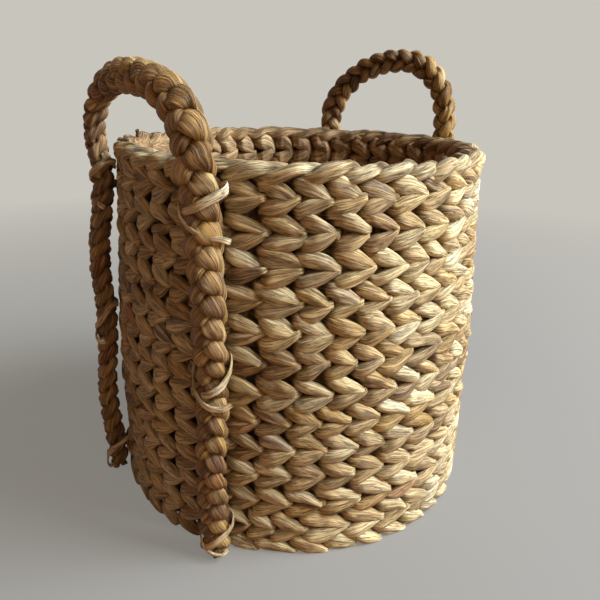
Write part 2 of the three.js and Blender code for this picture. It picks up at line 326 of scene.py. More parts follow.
# How far apart two strands of a piece read the noises, and two pieces for each letter of their names
GRAIN_STEP = 1.37
GRAIN_STEP_BY_NAME = 0.61

# Free edge at each side of a strip of the baking coordinates, and what is left between the edges
BAKE_MARGIN = 0.03
BAKE_SPAN = 0.94


def cad_extent(node):
    low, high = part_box(node)
    return np.array(low) / METRES, np.array(high) / METRES


wall_height = cad_extent("weft_rim")[1][2]
rim_radius = cad_extent("weft_rim")[1][1] - RIM_OVERHANG
belly_radius = cad_extent("weft_06_outer")[1][1]
foot_radius = cad_extent("weft_foot")[1][1]
base_thickness = cad_extent("base_weft_over")[1][2]
line_height = wall_height / LINE_COUNT


def wall_radius(height):
    """Outer radius of the wall at a height."""
    return np.interp(height, [0, wall_height / 2, wall_height], [foot_radius, belly_radius, rim_radius])


def read_closed(table, place):
    """Rows of a closed table read at fractional places, on a smooth curve."""
    first = np.floor(place).astype(int)
    part = (place - first).reshape(-1, *[1] * (table.ndim - 1))
    before, here, after, later = (table[(first + step) % len(table)] for step in (-1, 0, 1, 2))
    cubic = 3 * (here - after) + later - before
    square = 2 * before - 5 * here + 4 * after - later
    return here + part / 2 * (after - before + part * (square + part * cubic))


def smooth(value, low, high):
    share = np.clip((value - low) / (high - low), 0, 1)
    return share * share * (3 - 2 * share)


def unit(vectors):
    return vectors / np.linalg.norm(vectors, axis=-1, keepdims=True)


def long_folds(rng, along, around, cells, folds):
    """Unevenness of a dried stem: slow along it and quick round it."""
    lattice = rng.uniform(-1, 1, (cells, folds))
    rows = read_closed(lattice, along * cells)
    return read_closed(rows.T, around * folds).T


def creases(rng, along, around, cells, count, width):
    """Sharp grooves that run along a stem, wander round it and fade in and out: 0 to 1 deep."""
    depth = np.zeros((len(along), len(around)))
    for _ in range(count):
        place = rng.random() + CREASES.wander * read_closed(rng.normal(0, 1, cells), along * cells)
        share = np.clip(read_closed(rng.uniform(-0.5, 1, cells), along * cells), 0, 1)
        gap = np.abs((around[None, :] - place[:, None] + 0.5) % 1 - 0.5) * len(around)
        depth = np.maximum(depth, share[:, None] * np.clip(1 - gap / width, 0, 1))
    return depth


def stem_relief(rng, length, stations, sides):
    """Ribs, wrinkles and creases of one strand, and its painted shade, darkest in creases and low places.
    """
    along = np.arange(stations) / stations
    around = np.arange(sides) / sides

    def cells(feature):
        return max(4, round(length / feature.length))

    ribs = long_folds(rng, along, around, cells(RIBS), round(sides * RIBS.share))
    folds = long_folds(rng, along, around, cells(FOLDS), round(sides * FOLDS.share))
    wrinkles = long_folds(rng, along, around, cells(WRINKLES), WRINKLES.count)
    grooves = creases(rng, along, around, cells(CREASES), round(sides * CREASES.share), CREASES.width)
    raised = RIBS.height * ribs + FOLDS.height * folds + WRINKLES.height * wrinkles
    # Painted shade, darkest in the creases and where ribs and folds run low
    dark = np.clip(grooves - RIBS.shade * ribs - FOLDS.shade * folds, 0, 1)
    return raised - CREASES.depth * grooves, dark


def sweep(centre, out, side, half_thickness, half_width, relief, lean=None):
    """Points of a tube: centre line, the section's two directions and its two half sizes.

    The section starts at its edge, where the seam of its coordinates is hidden.
    """
    sides = relief.shape[1]
    turn = 2 * math.pi * (np.arange(sides) / sides + 0.25)
    face = np.sign(np.cos(turn)) * np.abs(np.cos(turn)) ** FACE_POWER
    edge = np.sign(np.sin(turn)) * np.abs(np.sin(turn)) ** EDGE_POWER
    thickness = half_thickness[:, None] * np.ones(sides)
    if lean is not None:
        thickness = thickness * (1 + lean[:, None] * face)
    normal_face = np.cos(turn) / half_thickness[:, None]
    normal_edge = np.sin(turn) / half_width[:, None]
    size = np.hypot(normal_face, normal_edge)
    across = thickness * face + relief * normal_face / size
    along = half_width[:, None] * edge + relief * normal_edge / size
    return centre[:, None] + out[:, None] * across[..., None] + side[:, None] * along[..., None]


def by_lobe(values, place, reach=0.08):
    """Values of a strand's lobes, one after another, with a short change between them."""
    count = len(values)
    step = np.floor(place + reach / 4).astype(int)
    change = smooth(place + reach / 4 - step, 0, reach)
    return values[(step - 1) % count] * (1 - change) + values[step % count] * change


def strand_tone(rng, place, count):
    """Tone of a strand: each lobe has its own, over a slower drift along the stem."""
    cells = max(4, count // 4)
    drift = read_closed(rng.uniform(0, 1, cells), place / count * cells)
    own = by_lobe(rng.beta(*TONE_BETA, count), place)
    return TONE_OF_LOBE * own + (1 - TONE_OF_LOBE) * np.clip(drift, 0, 1)


def lobe_values(rng, place, count, chance):
    """1 on the few lobes that have a mark, 0 on the others."""
    return by_lobe((rng.random(count) < chance) * rng.uniform(0.4, 1, count), place, 0.1)


def lobe_colours(rng, place, count, stained, rusty, sides):
    """Tone, hue and marks of a strand's lobes, the same all round the strand."""
    cells = max(4, count // 5)
    hue = HUE_OF_LOBE * by_lobe(rng.beta(*HUE_BETA, count), place)
    hue = hue + (1 - HUE_OF_LOBE) * read_closed(rng.uniform(0, 1, cells), place / count * cells)
    values = {
        "tone": strand_tone(rng, place, count),
        "hue": np.clip(hue, 0, 1),
        "stain": lobe_values(rng, place, count, stained),
        "rust": lobe_values(rng, place, count, rusty),
    }
    return {key: np.repeat(value[:, None], sides, 1) for key, value in values.items()}


def twined_line(rng, strand, turn, path, out, side, lobes, climbs, radius, drift=0):
    """The two strands of one woven line. They swap sides of the wall between uprights."""
    side_up = side * (1 if climbs else -1)
    shapes = RIM_SHAPES if strand is RIM_STRAND else WALL_SHAPES
    wander = read_closed(rng.normal(0, LOBE_SPREAD.place, lobes), turn * lobes / (2 * math.pi))
    length = 2 * math.pi * radius
    tubes = []
    for ply in range(2):
        phase = turn * lobes / (4 * math.pi) + 0.25 + ply / 2 + (drift + wander)
        lobe = 2 * phase
        swing, width, depth, climb = (read_closed(shape, phase * len(shape)) for shape in shapes)

        def vary(spread):
            return read_closed(rng.normal(0, spread, lobes), lobe - 0.5)

        reach = strand.swing * (1 + vary(LOBE_SPREAD.swing))
        rise = strand.rise * climb * (1 + vary(LOBE_SPREAD.rise)) + vary(LOBE_SPREAD.lift)
        centre = path + out * (reach * swing)[:, None] + side_up * rise[:, None]
        half_width = strand.tall * width * (1 + vary(LOBE_SPREAD.width))
        half_thickness = strand.thickness * depth * (1 + vary(LOBE_SPREAD.thickness))
        tilt = vary(LOBE_SPREAD.tilt)
        tilted_out = unit(out + side * tilt[:, None])
        tilted_side = unit(side - out * tilt[:, None])
        # Besides its relief, each strand gets painted shade in its creases and low places
        relief, painted_crease_shade = stem_relief(rng, length, len(turn), strand.sides)
        points = sweep(
            centre, tilted_out, tilted_side, half_thickness, half_width, relief, strand.flatten * swing
        )
        proud = np.einsum("nms,ns->nm", points - path[:, None], out)
        inside = smooth(-proud, *INSIDE_FADE)
        # Painted shade in the depths between strands, near the middle of the wall, mostly lost on its
        # inside
        deep = 1 - smooth(np.abs(proud), WALL_DEPTH_FADE, strand.swing + WALL_DEPTH_FADE)
        deep = deep * (1 - INSIDE_SHADE_LOSS * inside)
        tubes.append(SimpleNamespace(
            points=points,
            closed=True,
            girth=STRAND_GIRTH * (strand.thickness + strand.tall),
            length=length,
            shade=np.clip(painted_crease_shade * CREASE_SHADE + WALL_DEPTH_SHADE * deep, 0, 1),
            inside=inside,
            **lobe_colours(rng, lobe, lobes, WALL_STAINED, WALL_RUSTY, strand.sides),
        ))
    return tubes


def ring_directions(turn):
    outward = np.stack([np.cos(turn), np.sin(turn), np.zeros_like(turn)], 1)
    upward = np.tile([0.0, 0.0, 1.0], (len(turn), 1))
    return outward, upward


wave_rng = np.random.default_rng(SEED)
own_waves = wave_rng.normal(0, 1, (LINE_WAVES, LINE_COUNT))
shared_waves = np.roll(own_waves, 1, 1) + OWN_WAVE_SHARE * own_waves + np.roll(own_waves, -1, 1)
wall_waves = shared_waves / SHARED_WAVE_SIZE
pair_drifts = wave_rng.normal(0, PAIR_DRIFT, (PAIR_WAVES, LINE_COUNT))


def wall_line(number):
    """One woven line of the wall, counted from the floor. Lines alternate in slant."""
    rng = np.random.default_rng([SEED, number])
    is_rim = number == LINE_COUNT - 1
    strand = RIM_STRAND if is_rim else WALL_STRAND
    turn = 2 * math.pi * np.arange(UPRIGHT_COUNT * strand.stations) / (UPRIGHT_COUNT * strand.stations)
    outward, upward = ring_directions(turn)
    height = (number + 0.5) * line_height
    radius = wall_radius(height) - strand.swing - strand.thickness * (1 + strand.flatten)
    if is_rim:
        height = wall_height - np.max(strand.rise * RIM_RISE_SHAPE + strand.tall * RIM_WIDTH_SHAPE)
        radius = radius + RIM_OVERHANG
    wave_height = LINE_WAVE_HEIGHT_AT_EDGES if number in (0, LINE_COUNT - 1) else LINE_WAVE_HEIGHT
    waves = read_closed(wall_waves[:, number], turn * LINE_WAVES / (2 * math.pi))
    path = outward * radius + upward * (height + wave_height * waves)[:, None]
    drift = read_closed(pair_drifts[:, (number + 1) // 2], turn * PAIR_WAVES / (2 * math.pi))
    tubes = twined_line(
        rng, strand, turn, path, outward, upward, UPRIGHT_COUNT, number % 2 == 1, radius, drift
    )
    for tube in tubes:
        tube.points[..., 2] = np.clip(tube.points[..., 2], WALL_FLOOR_GAP, wall_height + RIM_SLACK)
    return tubes


def base_round(number):
    """One round of the base, counted from the middle, with fewer spokes near the middle."""
    rng = np.random.default_rng([SEED, BASE_SEED + number])
    strand = BASE_STRAND
    inside = wall_radius(0) - 2 * (WALL_STRAND.swing + WALL_STRAND.thickness) + BASE_TUCK
    spacing = inside / BASE_ROUNDS
    radius = spacing * (number + 0.5)
    lobes = max(4, 2 * round(math.pi * radius / BASE_LOBE_LENGTH))
    turn = 2 * math.pi * np.arange(lobes * strand.stations) / (lobes * strand.stations)
    outward, upward = ring_directions(turn)
    path = outward * radius + upward * (base_thickness / 2)
    tubes = twined_line(rng, strand, turn, path, upward, -outward, lobes, number % 2 == 1, radius)
    for tube in tubes:
        tube.points[..., 2] = np.clip(tube.points[..., 2], BASE_FLOOR_GAP, base_thickness)
    return tubes


def smooth_path(controls, spacing):
    """Evenly spaced stations on a smooth curve through the control rows."""
    controls = np.asarray(controls, float)
    padded = np.vstack([2 * controls[0] - controls[1], controls, 2 * controls[-1] - controls[-2]])
    place = np.linspace(1, len(controls) - 1e-6, 40 * len(controls))
    fine = read_closed(padded, place)
    run = np.concatenate([[0], np.cumsum(np.linalg.norm(np.diff(fine[:, :3], axis=0), axis=1))])
    stations = np.linspace(0, run[-1], round(run[-1] / spacing) + 1)
    return np.stack([np.interp(stations, run, column) for column in fine.T], 1), stations


def node_azimuth(node, height=None):
    """Azimuth of a node's middle, or of its part near a height."""
    vertices = np.array([v.co for v in frame["nodes"][node].data.vertices]) / METRES
    if height is not None:
        vertices = vertices[np.abs(vertices[:, 2] - height) < LEG_RING_REACH]
    middle = vertices.mean(0)
    return math.atan2(middle[1], middle[0])


def radial(azimuth):
    return np.array([math.cos(azimuth), math.sin(azimuth), 0.0])


def tie_height(leg, level):
    low, high = cad_extent(f"{leg}_tie_{level}")
    return (low[2] + high[2]) / 2


def tied_radius(height):
    return wall_radius(height) / math.cos(math.pi / UPRIGHT_COUNT) + CLEARANCE + BRAID_DEPTH / 2


def leg_controls(leg, top_radius):
    """Rows of place and flat direction up one leg, tied at three heights and bowed between them."""
    low, middle, high = (tie_height(leg, level) for level in ("low", "middle", "high"))
    bottom, top = (corner[2] for corner in cad_extent(f"{leg}_leg"))
    line = [
        (tied_radius(bottom), bottom),
        (tied_radius(low), low),
        (tied_radius((low + middle) / 2) + LEG_BOW, (low + middle) / 2),
        (tied_radius(middle), middle),
        (tied_radius((middle + high) / 2) + LEG_BOW, (middle + high) / 2),
        (tied_radius(high), high),
        (top_radius, top),
    ]
    rows = []
    for radius, height in line:
        outward = radial(node_azimuth(f"{leg}_leg", height))
        rows.append(np.concatenate([outward * radius + [0, 0, height], outward]))
    return rows


def handle_path(handle):
    """Stations of a handle's middle line, front leg to rear leg, with their flat directions."""
    joint = next(j for j in frame["joints"] if j["name"] == f"{handle}_tilt")
    hinge = np.array(joint["pos_m"]) / METRES
    front_azimuth, rear_azimuth = (
        node_azimuth(f"{handle}_{end}_leg", cad_extent(f"{handle}_{end}_leg")[1][2])
        for end in ("front", "rear")
    )
    spread = math.remainder(front_azimuth - rear_azimuth, 2 * math.pi) / 2
    top_radius = np.linalg.norm(hinge[:2]) / math.cos(spread)
    half_span = top_radius * abs(math.sin(spread))
    outward = unit(hinge * [1, 1, 0])
    to_front = unit(radial(front_azimuth) - radial(rear_azimuth))
    rise = cad_extent(f"{handle}_grip")[1][2] - hinge[2] - BRAID_WIDTH / 2
    arch = []
    for step in range(ARCH_STEPS + 1):
        turn = math.pi * step / ARCH_STEPS
        across = half_span * math.cos(turn) + CROWN_SHIFT[handle] * math.sin(turn) ** 2
        place = hinge + to_front * across + [0, 0, rise * math.sin(turn)]
        end = radial(front_azimuth if step < ARCH_STEPS / 2 else rear_azimuth)
        facing = outward + (end - outward) * smooth(abs(math.cos(turn)), 0, ARCH_FACING_FADE)
        arch.append(np.concatenate([place, facing]))
    front = leg_controls(f"{handle}_front", top_radius)
    rear = leg_controls(f"{handle}_rear", top_radius)
    rows, run = smooth_path([*front, *arch, *reversed(rear)], BRAID_STATION)
    return rows[:, :3], rows[:, 3:], run


def braid_strands(handle, number):
    """The three strands of a flat braid along a handle."""
    middle, flat, run = handle_path(handle)
    along = unit(np.gradient(middle, axis=0))
    flat = unit(flat - along * np.sum(flat * along, 1, keepdims=True))
    across = np.cross(flat, along)
    stations = len(run)
    girth = np.interp(run / run[-1], BRAID_PLACES, BRAID_GIRTHS[handle])
    period = BRAID_PERIOD * (BRAID_PERIOD_FIXED + BRAID_PERIOD_BY_GIRTH * girth)
    turns = np.cumsum(np.gradient(run) / period)
    length = run[-1] * BRAID_STRAND_STRETCH
    end = np.minimum(run, run[-1] - run)
    taper = BRAID_END_GIRTH + (1 - BRAID_END_GIRTH) * smooth(end, 0, BRAID_END_TAPER)
    tubes = []
    for ply in range(3):
        rng = np.random.default_rng([SEED, BRAID_SEED + 10 * number + ply])
        lobes = round(2 * turns[-1]) + 2
        phase = ply / 3 - turns
        lobe = np.abs(phase) * 2
        angle = 2 * math.pi * phase
        wander = read_closed(rng.normal(0, BRAID_SWAY_SPREAD, lobes), lobe)
        sway = BRAID_SWAY * girth * np.sin(angle) + wander
        lift = BRAID_LIFT * np.sin(2 * angle)
        centre = middle + across * sway[:, None] + flat * lift[:, None]
        forward = unit(np.gradient(centre, axis=0))
        roll = BRAID_TILT * np.abs(np.sin(angle)) * np.cos(angle)
        facing = flat * np.cos(roll)[:, None] + across * np.sin(roll)[:, None]
        facing = unit(facing - forward * np.sum(facing * forward, 1, keepdims=True))
        side = np.cross(facing, forward)
        swell = 1 + read_closed(rng.normal(0, BRAID_WIDTH_SPREAD, lobes), lobe)
        width, thickness = (
            read_closed(shape, 2 * phase * len(shape))
            for shape in (BRAID_WIDTH_SHAPE, BRAID_THICKNESS_SHAPE)
        )
        half_width = BRAID_HALF_STRAND * girth * swell * taper * width
        half_thickness = BRAID_HALF_THICKNESS * taper * thickness
        # Besides its relief, each strand gets painted shade in its creases and low places
        relief, painted_crease_shade = stem_relief(rng, length, stations, BRAID_SIDES)
        points = sweep(centre, facing, side, half_thickness, half_width, BRAID_RELIEF * relief)
        points[..., 2] = np.maximum(points[..., 2], BRAID_FLOOR_GAP)
        # Painted shade in the depths near the braid's middle line, where its strands pass between each
        # other
        deep = 1 - smooth(np.linalg.norm(points - middle[:, None], axis=2), *BRAID_DEPTH_FADE)
        tubes.append(SimpleNamespace(
            points=points,
            closed=False,
            girth=STRAND_GIRTH * (BRAID_HALF_STRAND + BRAID_HALF_THICKNESS),
            length=length,
            shade=np.clip(painted_crease_shade * CREASE_SHADE + BRAID_DEPTH_SHADE * deep, 0, 1),
            inside=np.zeros((stations, BRAID_SIDES)),
            **lobe_colours(rng, lobe, lobes, BRAID_STAINED, BRAID_RUSTY, BRAID_SIDES),
        ))
    return tubes


def leg_girth(leg, height):
    """How broad the braid of a leg is at a height."""
    handle, end = leg.rsplit("_", 1)
    share = height / HANDLE_LENGTH
    return np.interp(share if end == "front" else 1 - share, BRAID_PLACES, BRAID_GIRTHS[handle])


def strip_tube(rng, leg, level, route, half_width):
    """A peeled strip round a leg. Its angle is 0 at the leg's right edge and 90 on the outer face."""
    azimuth = node_azimuth(f"{leg}_tie_{level}")
    height = tie_height(leg, level)
    outward = radial(azimuth)
    right = radial(azimuth + math.pi / 2)
    centre_radius = tied_radius(height)
    half_braid = (BRAID_WIDTH / 2 + TIE_SLACK) * leg_girth(leg, height)
    controls = []
    for angle, rise, lift in route:
        turn = math.radians(angle)
        direction = right * math.cos(turn) + outward * math.sin(turn)
        reach_right = (half_braid + TIE_LIFT + lift) * math.cos(turn)
        reach_out = (BRAID_DEPTH / 2 + TIE_LIFT + lift) * math.sin(turn)
        place = outward * (centre_radius + reach_out) + right * reach_right + [0, 0, height + rise]
        controls.append(np.concatenate([place, direction]))
    return flat_band(rng, controls, half_width, TIE_THICKNESS)


def flat_band(rng, controls, half_width, half_thickness):
    """A flat stem with open ends, through rows of place and flat direction."""
    rows, run = smooth_path(controls, BAND_STATION)
    centre = rows[:, :3]
    forward = unit(np.gradient(centre, axis=0))
    out = unit(rows[:, 3:] - forward * np.sum(rows[:, 3:] * forward, 1, keepdims=True))
    side = np.cross(out, forward)
    stations = len(run)
    place = run / run[-1] * (BAND_CELLS - 1)
    # Besides its relief, the strip gets painted shade in its creases
    relief, painted_crease_shade = stem_relief(rng, run[-1], stations, BAND_SIDES)
    width = half_width * (1 + BAND_WIDTH_SPREAD * read_closed(rng.normal(0, 1, BAND_CELLS), place))
    points = sweep(centre, out, side, np.full(stations, half_thickness), width, relief * BAND_RELIEF)
    points[..., 2] = np.maximum(points[..., 2], BAND_FLOOR_GAP)
    tone = rng.uniform(*BAND_TONES)
    tone = tone + BAND_TONE_SPREAD * read_closed(rng.normal(0, 1, BAND_CELLS), place)
    return SimpleNamespace(
        points=points,
        closed=False,
        girth=BAND_GIRTH * (half_width + half_thickness),
        length=run[-1],
        tone=np.repeat(np.clip(tone, 0, 1)[:, None], BAND_SIDES, 1),
        hue=np.ones((stations, BAND_SIDES)),
        stain=np.zeros((stations, BAND_SIDES)),
        rust=np.zeros((stations, BAND_SIDES)),
        shade=painted_crease_shade * BAND_CREASE_SHADE,
        inside=np.zeros((stations, BAND_SIDES)),
    )


def add_piece(name, tubes, material):
    """One mesh from several tubes, with coordinates along and round each strand."""
    points, corners, starts, fibre, bake = [], [], [], [], []
    values = {key: [] for key in ("tone", "hue", "stain", "rust", "shade", "inside")}
    columns = sum(len(t.points) for t in tubes)
    run = sum(t.length for t in tubes)
    strips = max(1, round(math.sqrt(run / tubes[0].girth)))
    per_strip = math.ceil(columns / strips)
    first_point = 0
    first_column = 0
    for index, tube in enumerate(tubes):
        stations, sides = tube.points.shape[:2]
        rows = stations if tube.closed else stations - 1
        i, j = np.meshgrid(np.arange(rows), np.arange(sides), indexing="ij")
        after = (i + 1) % stations
        beside = (j + 1) % sides
        quad = np.stack([i * sides + j, after * sides + j, after * sides + beside, i * sides + beside], 2)
        corners.append((quad + first_point).reshape(-1))
        starts.append(np.full(rows * sides, 4))
        along = np.stack([i, i + 1, i + 1, i], 2)
        around = np.stack([j, j, j + 1, j + 1], 2)
        offset = index * GRAIN_STEP + len(name) * GRAIN_STEP_BY_NAME
        fibre.append(np.stack([
            along / stations * tube.length * METRES + offset,
            around / sides * tube.girth * METRES + offset,
        ], 3).reshape(-1, 2))
        strip = (i + first_column) // per_strip
        place = (i + first_column) % per_strip
        place = np.stack([place, place + 1, place + 1, place], 2) / per_strip
        band = (strip[..., None] + BAKE_MARGIN + BAKE_SPAN * around / sides) / strips
        bake.append(np.stack([place, band], 3).reshape(-1, 2))
        if not tube.closed:
            ring = np.arange(sides)
            for station, order in ((0, ring[::-1]), (stations - 1, ring)):
                corners.append(order + first_point + station * sides)
                starts.append(np.array([sides]))
                column = min(station + first_column, columns - 1)
                spot = np.stack([
                    np.full(sides, (column % per_strip) / per_strip),
                    (column // per_strip + BAKE_MARGIN + BAKE_SPAN * order / sides) / strips,
                ], 1)
                bake.append(spot)
                fibre.append(np.stack([
                    np.full(sides, station / stations * tube.length * METRES + offset),
                    order / sides * tube.girth * METRES + offset,
                ], 1))
        points.append(tube.points.reshape(-1, 3))
        for key in values:
            values[key].append(getattr(tube, key).reshape(-1))
        first_point += stations * sides
        first_column += rows
    points = np.concatenate(points) * METRES
    corners = np.concatenate(corners)
    sizes = np.concatenate(starts)
    mesh = bpy.data.meshes.new(name)
    mesh.vertices.add(len(points))
    mesh.vertices.foreach_set("co", points.astype(np.float32).ravel())
    mesh.loops.add(len(corners))
    mesh.loops.foreach_set("vertex_index", corners.astype(np.int32))
    mesh.polygons.add(len(sizes))
    mesh.polygons.foreach_set("loop_start", (np.cumsum(sizes) - sizes).astype(np.int32))
    mesh.update(calc_edges=True)
    mesh.polygons.foreach_set("use_smooth", np.ones(len(sizes), bool))
    for layer, coordinates in (("OFBake", bake), ("fibre", fibre)):
        uv = mesh.uv_layers.new(name=layer)
        uv.uv.foreach_set("vector", np.concatenate(coordinates).astype(np.float32).ravel())
    for key, parts in values.items():
        attribute = mesh.attributes.new(key, "FLOAT", "POINT")
        attribute.data.foreach_set("value", np.concatenate(parts).astype(np.float32))
    piece = bpy.data.objects.new(name, mesh)
    piece.data.materials.append(material)
    bpy.context.scene.collection.objects.link(piece)
    return piece


def linear(code):
    """Linear colour of a hex code."""
    parts = [int(code[k:k + 2], 16) / 255 for k in (1, 3, 5)]
    return [p / 12.92 if p <= 0.04045 else ((p + 0.055) / 1.055) ** 2.4 for p in parts] + [1]


class Nodes:
    """The node tree of a material or of the world, built by short calls."""

    def __init__(self, owner):
        owner.use_nodes = True
        self.owner = owner
        self.tree = owner.node_tree
        self.tree.nodes.clear()

    def add(self, kind, settings=None, **inputs):
        node = self.tree.nodes.new(kind)
        for key, value in (settings or {}).items():
            setattr(node, key, value)
        for key, value in inputs.items():
            self.feed(node.inputs[key.replace("_", " ")], value)
        return node

    def feed(self, socket, value):
        if isinstance(value, bpy.types.NodeSocket):
            self.tree.links.new(value, socket)
        else:
            socket.default_value = value

    def value(self, name):
        return self.add("ShaderNodeAttribute", {"attribute_name": name}).outputs["Fac"]

    def maths(self, operation, first, second=0.0, clamp=False):
        node = self.add("ShaderNodeMath", {"operation": operation, "use_clamp": clamp})
        self.feed(node.inputs[0], first)
        self.feed(node.inputs[1], second)
        return node.outputs[0]

    def ramp(self, value, stops):
        node = self.add("ShaderNodeValToRGB", Fac=value)
        elements = node.color_ramp.elements
        while len(elements) < len(stops):
            elements.new(0.5)
        for element, (place, colour) in zip(elements, stops):
            element.position = place
            element.color = colour
        return node.outputs["Color"]

    def seen_rays(self):
        """1 for the rays that show a surface directly, in gloss or through glass."""
        rays = self.add("ShaderNodeLightPath").outputs
        mirrored = self.maths("MAXIMUM", rays["Is Glossy Ray"], rays["Is Transmission Ray"])
        return self.maths("MAXIMUM", rays["Is Camera Ray"], mirrored)

    def spread(self, value, low, high, to_low, to_high):
        node = self.add("ShaderNodeMapRange", Value=value)
        for key, number in zip(("From Min", "From Max", "To Min", "To Max"), (low, high, to_low, to_high)):
            node.inputs[key].default_value = number
        return node.outputs["Result"]

    def vary(self, noise, amount):
        """A noise as a value from minus the amount to the amount."""
        return self.spread(noise, 0.3, 0.7, -amount, amount)

    def mix(self, share, first, second, blend="MIX"):
        node = self.add("ShaderNodeMix", {"data_type": "RGBA", "blend_type": blend})
        self.feed(node.inputs[0], share)
        self.feed(node.inputs[6], first)
        self.feed(node.inputs[7], second)
        return node.outputs[2]

    def grain(self, length, width, detail, roughness=0.55):
        """Noise drawn out along the strand: its usual length and width in millimetres."""
        place = self.add("ShaderNodeUVMap", {"uv_map": "fibre"}).outputs["UV"]
        scaled = self.add("ShaderNodeMapping", Vector=place)
        scaled.inputs["Scale"].default_value = (1 / (length * METRES), 1 / (width * METRES), 1)
        noise = self.add("ShaderNodeTexNoise", Vector=scaled.outputs["Vector"], Scale=1.0, Detail=detail)
        noise.inputs["Roughness"].default_value = roughness
        return noise.outputs["Fac"]

    def cracks(self, noise, middle, width):
        """1 on thin lines, where the noise passes a value, and 0 elsewhere."""
        gap = self.maths("ABSOLUTE", self.maths("SUBTRACT", noise, middle))
        return self.spread(gap, 0, width, 1, 0)


def straw_material(name, warm, cool, inner, smoothest):
    """Dried stems: tones by lobe, lengthwise fibres, streaks, stains and painted shade in creases and
    between strands.
    """
    nodes = Nodes(bpy.data.materials.new(name))
    fibres = nodes.grain(*FIBRE_GRAIN)
    threads = nodes.grain(*THREAD_GRAIN)
    streaks = nodes.grain(*STREAK_GRAIN)
    blotches = nodes.grain(*BLOTCH_GRAIN)
    tone = nodes.maths("ADD", nodes.value("tone"), nodes.vary(streaks, STREAK_TONE))
    tone = nodes.maths("ADD", tone, nodes.vary(blotches, BLOTCH_TONE), True)

    def tones(codes):
        return nodes.ramp(tone, [(k / (len(codes) - 1), linear(code)) for k, code in enumerate(codes)])

    hue = nodes.maths("ADD", nodes.value("hue"), nodes.vary(blotches, BLOTCH_HUE), True)
    colour = nodes.mix(hue, tones(cool), tones(warm))
    colour = nodes.mix(nodes.value("inside"), colour, tones(inner))
    rust_streaks = nodes.spread(streaks, 0.3, 0.6, 0.45, 0.9)
    rust = nodes.maths("MULTIPLY", nodes.value("rust"), rust_streaks)
    colour = nodes.mix(rust, colour, linear(RUST))
    stain_streaks = nodes.spread(streaks, 0.47, 0.56, 0, 0.85)
    stain = nodes.maths("MULTIPLY", nodes.value("stain"), stain_streaks, True)
    colour = nodes.mix(stain, colour, linear(STAIN))
    crack = nodes.maths("MAXIMUM", nodes.cracks(fibres, 0.45, 0.035), nodes.cracks(streaks, 0.5, 0.03))
    light = nodes.spread(fibres, 0.53, 0.66, 0, 0.28)
    colour = nodes.mix(light, colour, linear(PALE_FIBRE))
    thread = nodes.spread(threads, 0.35, 0.6, 0.86, 1.12)
    line = nodes.maths("MULTIPLY", nodes.spread(crack, 0, 1, 1, CRACK_TONE), thread)
    lines = nodes.add("ShaderNodeCombineColor", Red=line, Green=line, Blue=line).outputs[0]
    colour = nodes.mix(1.0, colour, lines, "MULTIPLY")
    # Painted shade: the colour goes towards SHADOW in creases and in the depths between strands
    shade = nodes.maths("MULTIPLY", nodes.value("shade"), SHADOW_LEVEL)
    colour = nodes.mix(shade, colour, linear(SHADOW))
    height = nodes.maths("ADD", fibres, streaks)
    height = nodes.maths("SUBTRACT", height, nodes.maths("MULTIPLY", crack, 0.3))
    height = nodes.maths("ADD", height, nodes.maths("MULTIPLY", threads, 0.35))
    bump = nodes.add("ShaderNodeBump", Height=height, Strength=1.0, Distance=STRAW_BUMP * METRES)
    roughness = nodes.spread(blotches, 0.3, 0.7, smoothest, smoothest + 0.18)
    shader = nodes.add(
        "ShaderNodeBsdfPrincipled", Base_Color=colour, Roughness=roughness, Normal=bump.outputs["Normal"]
    )
    shader.inputs["Specular IOR Level"].default_value = STRAW_SPECULAR
    nodes.add("ShaderNodeOutputMaterial", Surface=shader.outputs["BSDF"])
    return nodes.owner


def cane_material():
    """Split cane, for the hidden uprights and spokes."""
    nodes = Nodes(bpy.data.materials.new("cane"))
    place = nodes.add("ShaderNodeTexCoord").outputs["Object"]
    noise = nodes.add("ShaderNodeTexNoise", Vector=place, Scale=240.0, Detail=4.0).outputs["Fac"]
    colour = nodes.ramp(noise, [(0.3, linear(CANE_DARK)), (0.7, linear(CANE_LIGHT))])
    bump = nodes.add("ShaderNodeBump", Height=noise, Strength=0.4, Distance=0.5 * METRES)
    shader = nodes.add(
        "ShaderNodeBsdfPrincipled", Base_Color=colour, Roughness=0.7, Normal=bump.outputs["Normal"]
    )
    nodes.add("ShaderNodeOutputMaterial", Surface=shader.outputs["BSDF"])
    return nodes.owner


straw = straw_material("straw", WARM_TONES, COOL_TONES, INNER_TONES, 0.42)
rim_straw = straw_material("rim_straw", WARM_TONES, COOL_TONES, INNER_TONES, 0.42)
base_straw = straw_material("base_straw", INNER_TONES, INNER_TONES, INNER_TONES, 0.5)
braid = straw_material("braid", BRAID_WARM, BRAID_COOL, BRAID_COOL, 0.4)
strip = straw_material("strip", STRIP_TONES, STRIP_TONES, STRIP_TONES, 0.35)
cane = cane_material()

for material_slot in frame["nodes"]["upright_frame"].material_slots:
    material_slot.material = cane

for course in range(1, LINE_COUNT // 2):
    lines = [*wall_line(2 * course - 1), *wall_line(2 * course)]
    piece = add_piece(f"course_{course:02d}", lines, straw)
    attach(piece, "basket")
    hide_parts(f"weft_{course:02d}_outer", f"weft_{course:02d}_inner")

foot = add_piece("foot_line", wall_line(0), straw)
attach(foot, "basket")
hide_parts("weft_foot")

rim = add_piece("rim_line", wall_line(LINE_COUNT - 1), rim_straw)
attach(rim, "basket")
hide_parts("weft_rim")

inner_rounds = [tube for number in range(BASE_MIDDLE_ROUNDS) for tube in base_round(number)]
middle_of_base = add_piece("base_middle", inner_rounds, base_straw)
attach(middle_of_base, "basket")
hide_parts("base_weft_under")

